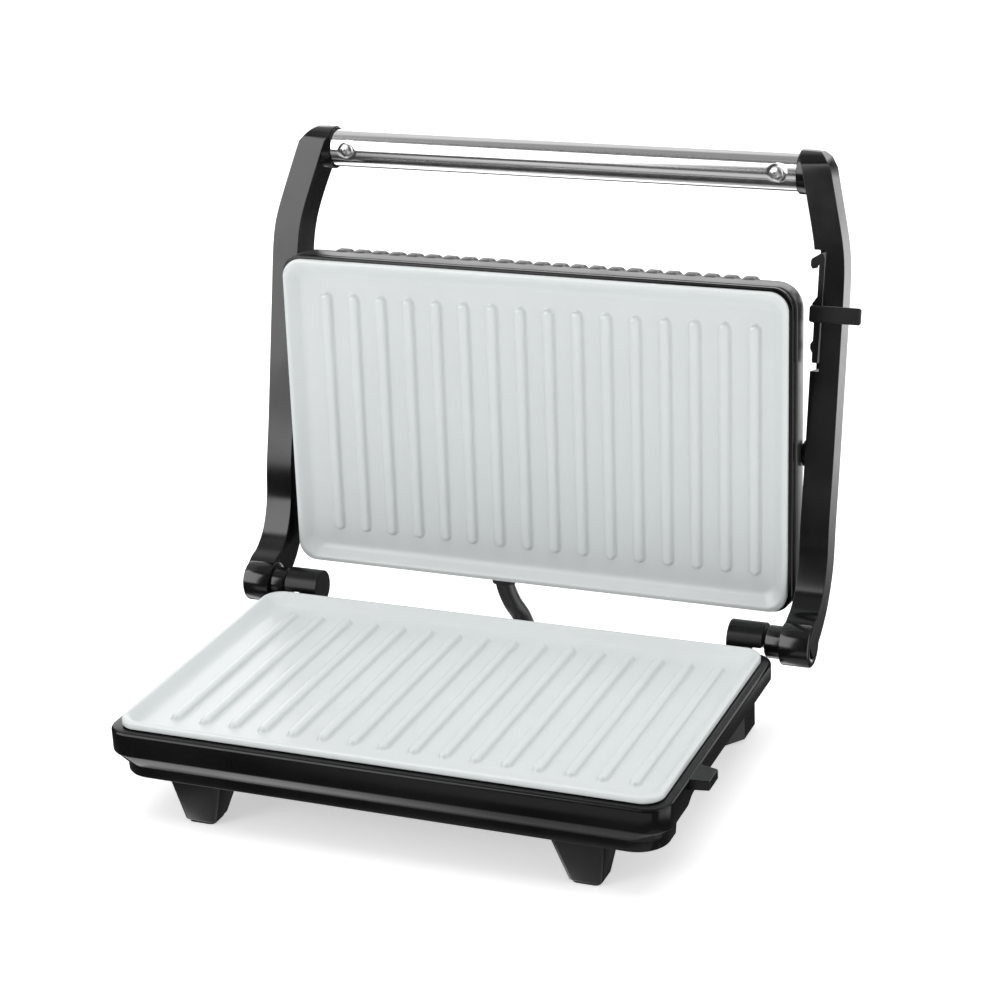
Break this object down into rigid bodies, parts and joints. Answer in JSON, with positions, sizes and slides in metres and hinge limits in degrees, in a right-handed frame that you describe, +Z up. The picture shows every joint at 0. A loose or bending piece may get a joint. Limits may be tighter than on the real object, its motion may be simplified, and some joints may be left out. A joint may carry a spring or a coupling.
{
  "type": "panini press",
  "caption": "Two-plate contact grill: ribbed white plates, black base, and a tilting upper housing hung between swinging arms that are joined by a steel tube handle.",
  "frame": {"origin": "middle of the bounding box's footprint, on the worktop under the foot pads, with the press open", "axes": "+X to the user's right along the hinge and the handle, +Y to the back, +Z up"},
  "size_m": [0.2724, 0.235, 0.2365],
  "materials": {
    "base_plastic": "glossy black moulded plastic",
    "arm_plastic": "satin to glossy black moulded plastic",
    "housing_plastic": "satin black moulded plastic",
    "hinge_plastic": "satin black moulded plastic",
    "cap_plastic": "satin black push-in cap",
    "slider_plastic": "satin black moulded plastic",
    "plate_ceramic": "cast aluminium with a pale, slightly glossy ceramic coat",
    "heater_steel": "dull tubular heater sheath",
    "sheet_aluminium": "plain sheet",
    "white_block": "pale ceramic or plastic block",
    "zinc_steel": "zinc-plated steel",
    "handle_steel": "polished stainless tube with fine lengthwise lines",
    "handle_screw_steel": "polished steel screw",
    "black_rubber": "matte black",
    "cable_sleeve": "dark smooth sleeve",
    "lamp_red": "red lamp lens",
    "lamp_green": "green lamp lens"
  },
  "bodies": {
    "base": {"base_shell": "base_plastic", "bottom_cover": "base_plastic", "lower_plate": "plate_ceramic", "lower_heating_element": "heater_steel", "lower_reflector": "sheet_aluminium", "thermostat": "white_block", "terminal_block": "white_block", "left_hinge_bracket": "hinge_plastic", "right_hinge_bracket": "hinge_plastic", "left_hinge_pin": "zinc_steel", "right_hinge_pin": "zinc_steel", "front_left_foot_pad": "black_rubber", "front_right_foot_pad": "black_rubber", "rear_left_foot_pad": "black_rubber", "rear_right_foot_pad": "black_rubber", "bottom_screw_1": "zinc_steel", "bottom_screw_2": "zinc_steel", "bottom_screw_3": "zinc_steel", "bottom_screw_4": "zinc_steel", "power_inlet_bush": "black_rubber", "lower_cable_bush": "black_rubber", "link_cable": "cable_sleeve"},
    "arms": {"left_arm": "arm_plastic", "right_arm": "arm_plastic", "handle_tube": "handle_steel", "left_handle_screw": "handle_screw_steel", "right_handle_screw": "handle_screw_steel", "left_hinge_cap": "cap_plastic", "right_hinge_cap": "cap_plastic", "left_pivot_cap": "cap_plastic", "right_pivot_cap": "cap_plastic"},
    "slider": {"lock_slider": "slider_plastic"},
    "upper": {"upper_shell": "housing_plastic", "upper_bezel": "housing_plastic", "upper_plate": "plate_ceramic", "upper_heating_element": "heater_steel", "upper_reflector": "sheet_aluminium", "thermal_fuse": "white_block", "left_pivot_pin": "hinge_plastic", "right_pivot_pin": "hinge_plastic", "power_lamp": "lamp_red", "ready_lamp": "lamp_green", "upper_cable_bush": "black_rubber", "left_cover_screw": "zinc_steel", "right_cover_screw": "zinc_steel"}
  },
  "joints": [
    {"name": "arm_hinge", "type": "hinge", "parent": "base", "child": "arms", "pos_m": [-0.00415, 0.0407, 0.0419], "axis": [1, 0, 0], "range_deg": [0, 101.44], "deforming": ["link_cable"]},
    {"name": "upper_tilt", "type": "hinge", "parent": "arms", "child": "upper", "pos_m": [-0.00415, 0.0779, 0.11378], "axis": [1, 0, 0], "range_deg": [-10.6, 0]},
    {"name": "lock_slide", "type": "slide", "parent": "arms", "child": "slider", "axis": [0, -0.2147, -0.9767], "range_m": [0, 0.003]}
  ],
  "couplings": [
    {"joint": "upper_tilt", "follows": "arm_hinge", "ratio": -0.10351}
  ]
}
